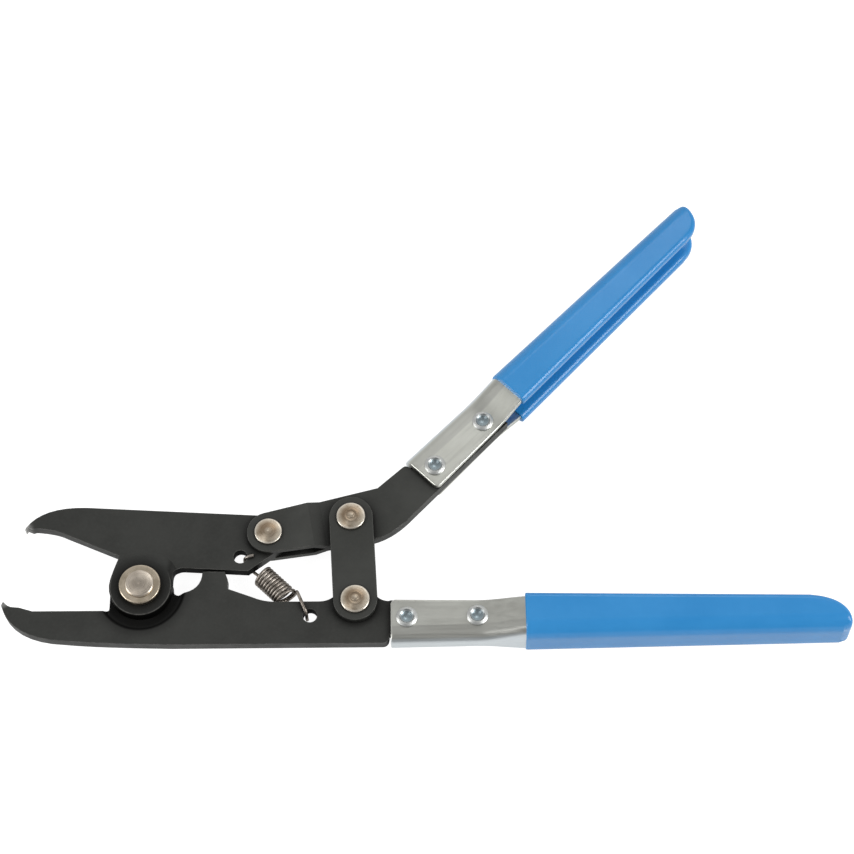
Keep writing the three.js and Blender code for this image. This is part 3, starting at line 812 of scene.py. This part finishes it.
def grip_piece(handle, material):
    """The dipped grip: a U with rounded edges, its rear end rounded in the side view too."""
    leg_steps = 16
    outline = grip_side_outline(handle)
    open_end = outline[0][0]

    def section(share, angle=0.0, pinch=0.0):
        used = GRIP_EDGE * (1 - math.cos(math.radians(angle))) + pinch
        turned = GRIP_EDGE * (1 - math.sin(math.radians(angle)))
        u_open = handle.grip_from + (open_end - handle.grip_from) * share
        top = depth_at(u_open) + LIP - turned - pinch * 0.6
        outer = u_chain(GRIP_HALF - used, -COAT + used, top, GRIP_CORNER - used, leg_steps)
        slot = GRIP_HALF - GRIP_LEG + used
        floor = -COAT + GRIP_LEG - used
        inner = u_chain(slot, floor, top, GRIP_CORNER - GRIP_LEG + used, leg_steps)
        return outer, u_loop(outer, inner, GRIP_EDGE, angle, 6)

    loops = []
    for k in range(5):
        a = math.radians(90 * k / 4)
        pinch = DIP_EDGE * (1 - math.sin(a))
        ahead = DIP_EDGE * (1 - math.cos(a))
        outer, loop = section(0, pinch=pinch)
        loops.append([(handle.grip_from + ahead, v, z) for z, v in loop])
    body_line = inset(outline, GRIP_EDGE)
    for share in (0.012, 0.03, 0.07, 0.13, 0.2, 0.3, 0.4, 0.5, 0.6, 0.7, 0.8, 0.88, 0.94, 1):
        outer, loop = section(share)
        loops.append([(along(handle, share, body_line, v), v, z) for z, v in loop])
    for k in range(1, 7):
        angle = 90 * k / 6
        line = inset(outline, GRIP_EDGE * (1 - math.sin(math.radians(angle))))
        outer, loop = section(1, angle)
        loops.append([(along(handle, 1, line, v), v, z) for z, v in loop])
    count = len(loops[0])
    vertices = handle.points([p for loop in loops for p in loop])
    faces = bridge(loops)
    faces += cap(len(outer), count, 0)
    faces += cap(len(outer), count, (len(loops) - 1) * count)
    piece = make_piece(handle.side + "_grip_dipped", vertices, faces, material, 60, handle.place)
    return stand_for(piece, handle.side + "_grip")


def along(handle, share, line, v):
    """How far back a point at height v lies, share of the way from the dip edge to the end."""
    return handle.grip_from + (reach_at(line, v) - handle.grip_from) * share


# ---- Return spring -----------------------------------------------------------------------


def smooth_line(points, steps):
    """A Catmull-Rom curve through points, leaving out its first and last one."""
    line = []
    for a, b, c, d in zip(points, points[1:], points[2:], points[3:]):
        square = 2 * a - 5 * b + 4 * c - d
        cube = 3 * b - a - 3 * c + d
        for i in range(steps):
            t = i / steps
            line.append(b + ((c - a) * t + square * t**2 + cube * t**3) / 2)
    return line


def spring_line():
    """The centre line of the wire, from the main pivot: a hook through the upper jaw, the coil
    and a hook through the lower lever."""
    start = Vector(COIL_START)
    axis = Vector(COIL_AXIS).normalized()
    up = Vector((0, 0, 1))
    side = up.cross(axis)
    turn_steps = 28
    last_top = COIL_TURNS - 0.75  # where the last loop passes its far side

    def on_coil(turns):
        a = math.pi + 2 * math.pi * turns
        pulled = clamp((turns - last_top) / 0.5, -1, 1)
        gap = LAST_LOOP_GAP * math.cos(math.pi / 2 * pulled) ** 2
        fan = COIL_FAN * turns * (1 - math.sin(a)) / 2
        middle = start + axis * (COIL_PITCH * turns + fan + gap)
        return middle + (up * math.cos(a) - side * math.sin(a)) * COIL_RADIUS

    coil = [on_coil(i / turn_steps) for i in range(int((last_top + 0.5) * turn_steps) + 1)]
    lead = [(34.0, 10.4, 2.3), (33.1, 10.25, 2.3), (31.5, 9.8, 2.2), (30.6, 9.65, 1.3)]
    lead += [(30.3, 9.55, 0), (30.5, 9.1, -1.7), (31.5, 8.0, -2.6), (32.9, 6.8, -2.8)]
    lead += [(34.1, 5.9, -2.95)]
    tail = [(42.7, -2.4, -2.9), (45.1, -1.2, -1.5), (46.0, -1.1, 0.9), (46.4, -1.8, 2.4)]
    tail += [(47.4, -4.1, 2.75), (48.5, -6.7, 2.75), (49.1, -8.1, 2.0), (49.2, -8.8, 0.3)]
    tail += [(49.3, -9.1, -1.6), (49.8, -9.4, -2.4)]
    lead = [Vector(p) for p in lead]
    tail = [Vector(p) for p in tail]
    front = smooth_line(lead + [coil[0], coil[6]], 8)
    rear = smooth_line([coil[-7], coil[-1]] + tail, 8)
    return front + coil + rear[8:]


def sweep(points, radius, sides=12):
    """A round wire along a line, closed at both ends: vertices and faces."""
    loops = []
    normal = Vector((0, 0, 1))
    for i, point in enumerate(points):
        ahead = (points[min(i + 1, len(points) - 1)] - points[max(i - 1, 0)]).normalized()
        normal = (normal - ahead * normal.dot(ahead)).normalized()
        across = ahead.cross(normal)
        turn = [2 * math.pi * j / sides for j in range(sides)]
        loops.append([point + (normal * math.cos(a) + across * math.sin(a)) * radius for a in turn])
    faces = bridge(loops)
    faces.append(tuple(range(sides))[::-1])
    faces.append(tuple(range((len(loops) - 1) * sides, len(loops) * sides)))
    return [tuple(v) for loop in loops for v in loop], faces


def spring_piece():
    """The coil, between the lower lever, where it hooks, and the upper jaw."""
    pivot = Vector((0, 0, centre_of("main_pivot_rivet").z))
    line = [p + pivot for p in spring_line()]
    vertices, faces = sweep(line, WIRE / 2)
    piece = make_piece("return_spring_wire", vertices, faces, spring_wire(), 60)
    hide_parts("return_spring")
    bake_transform(piece)
    return piece


# ---- Assembly ----------------------------------------------------------------------------

plate_black = black_steel("black_steel", shade=1.4, bends=0.86)
lower_black = black_steel(
    "black_steel_lower", tips=(LOWER_JAW_TIP,), recess=RECESS_RADIUS, shadowed_edge=SHADOWED_EDGE_LOWER
)
upper_black = black_steel(
    "black_steel_upper", tips=(UPPER_JAW_TIP,), boss=BOSS_RADIUS, shadowed_edge=SHADOWED_EDGE_UPPER
)
pressed_edges("lower_jaw_lever", lower_black, PLATE_EDGE)
pressed_edges("upper_jaw", upper_black, PLATE_EDGE)
for plate_name in ("lever_sheet_front", "lever_sheet_rear", "link_front", "link_rear"):
    pressed_edges(plate_name, plate_black, SHEET_EDGE)

pivot_piece()
washer_piece("pivot_washer_front")
washer_piece("pivot_washer_rear")
pin_piece("jaw_pin", 4.1, SHANK_THICK, nub=False)
pin_piece("link_pin_upper", 4.3, SHANK_THIN, nub=True)
pin_piece("link_pin_lower", 4.3, SHANK_THICK, nub=True)

rivets = rivet_metal()
plastic = dipped_plastic()
for each_handle, painted_flange_shade in ((LOWER, 0.42), (UPPER, 0.12)):
    channel_piece(each_handle, zinc("zinc_" + each_handle.side, painted_flange_shade))
    grip_piece(each_handle, plastic)
    rivet_piece(each_handle.side + "_rivet_front", rivets)
    rivet_piece(each_handle.side + "_rivet_rear", rivets)

spring_piece()


# ---- Stage -------------------------------------------------------------------------------

FLOOR_GLOW = 0.92
FLOOR_GLOW_MIRRORED = 0.5
SKY_DARK = 0.33  # overhead and in front
SKY_BRIGHT = 0.92  # low behind the tool


def floor():
    """A white sheet that glows, so that shadows on it stay faint. The glow is weaker in
    reflections than where the camera sees it."""
    size = 3.0
    level = cad_box[0].z - 0.2 * MM
    corners = [(-size, -size, level), (size, -size, level), (size, size, level), (-size, size, level)]
    mesh = bpy.data.meshes.new("floor")
    mesh.from_pydata(corners, [], [(0, 1, 2, 3)])
    s = Shader("floor_white")
    white = (1.0, 1.0, 1.0)
    seen = s.add("ShaderNodeLightPath", result="Is Camera Ray")
    glow = s.fit(seen, 0, 1, FLOOR_GLOW_MIRRORED, FLOOR_GLOW)
    s.principled(Base_Color=(0.4, 0.4, 0.4), Roughness=0.9, Specular_IOR_Level=0.0)
    s.principled(Emission_Color=white, Emission_Strength=glow)
    mesh.materials.append(s.material)
    board = bpy.data.objects.new("floor", mesh)
    bpy.context.scene.collection.objects.link(board)


def softbox(name, place, target, size, power):
    """A lit panel that faces the target. Its place and size are in metres, its power in watts."""
    lamp = bpy.data.lights.new(name, "AREA")
    lamp.shape = "RECTANGLE"
    lamp.size, lamp.size_y = size
    lamp.energy = power
    light = bpy.data.objects.new(name, lamp)
    bpy.context.scene.collection.objects.link(light)
    light.location = place
    aim = Vector(target) - Vector(place)
    light.rotation_euler = aim.to_track_quat("-Z", "Y").to_euler()


def sky():
    """A soft studio: bright behind the tool, darker overhead and in front."""
    world = bpy.data.worlds.new("studio")
    bpy.context.scene.world = world
    world.use_nodes = True
    tree = world.node_tree
    tree.nodes.clear()
    coordinates = tree.nodes.new("ShaderNodeTexCoord")
    facing = tree.nodes.new("ShaderNodeVectorMath")
    facing.operation = "DOT_PRODUCT"
    facing.inputs[1].default_value = (0, 1, 0)
    ramp = tree.nodes.new("ShaderNodeMapRange")
    ramp.inputs["From Min"].default_value = 0.0
    ramp.inputs["From Max"].default_value = 0.85
    ramp.inputs["To Min"].default_value = SKY_DARK
    ramp.inputs["To Max"].default_value = SKY_BRIGHT
    background = tree.nodes.new("ShaderNodeBackground")
    output = tree.nodes.new("ShaderNodeOutputWorld")
    tree.links.new(coordinates.outputs["Generated"], facing.inputs[0])
    tree.links.new(facing.outputs["Value"], ramp.inputs["Value"])
    tree.links.new(ramp.outputs["Result"], background.inputs["Strength"])
    tree.links.new(background.outputs[0], output.inputs[0])


def camera():
    """In front of the tool and above it, 64 degrees over the floor, with a long lens."""
    lens = bpy.data.cameras.new("camera")
    lens.sensor_width = 36
    lens.lens = 101.17
    eye = bpy.data.objects.new("camera", lens)
    bpy.context.scene.collection.objects.link(eye)
    eye.location = Vector((95.22, -268.88, 665.8)) * MM
    eye.rotation_euler = tuple(math.radians(a) for a in (26.047, 0.922, 0))
    bpy.context.scene.camera = eye


floor()
sky()
tool_middle = (0.08, 0.04, 0)  # in metres
softbox("right", (1.0, -0.28, 0.72), tool_middle, (0.6, 0.9), 10)
softbox("left", (-0.9, -0.25, 0.45), tool_middle, (0.6, 0.9), 6)
softbox("overhead", (-0.35, -0.05, 1.1), tool_middle, (0.35, 0.35), 0.5)
softbox("behind", (0.25, 0.74, 0.92), tool_middle, (0.4, 0.3), 0.6)
camera()
bpy.context.scene.view_settings.view_transform = "Standard"
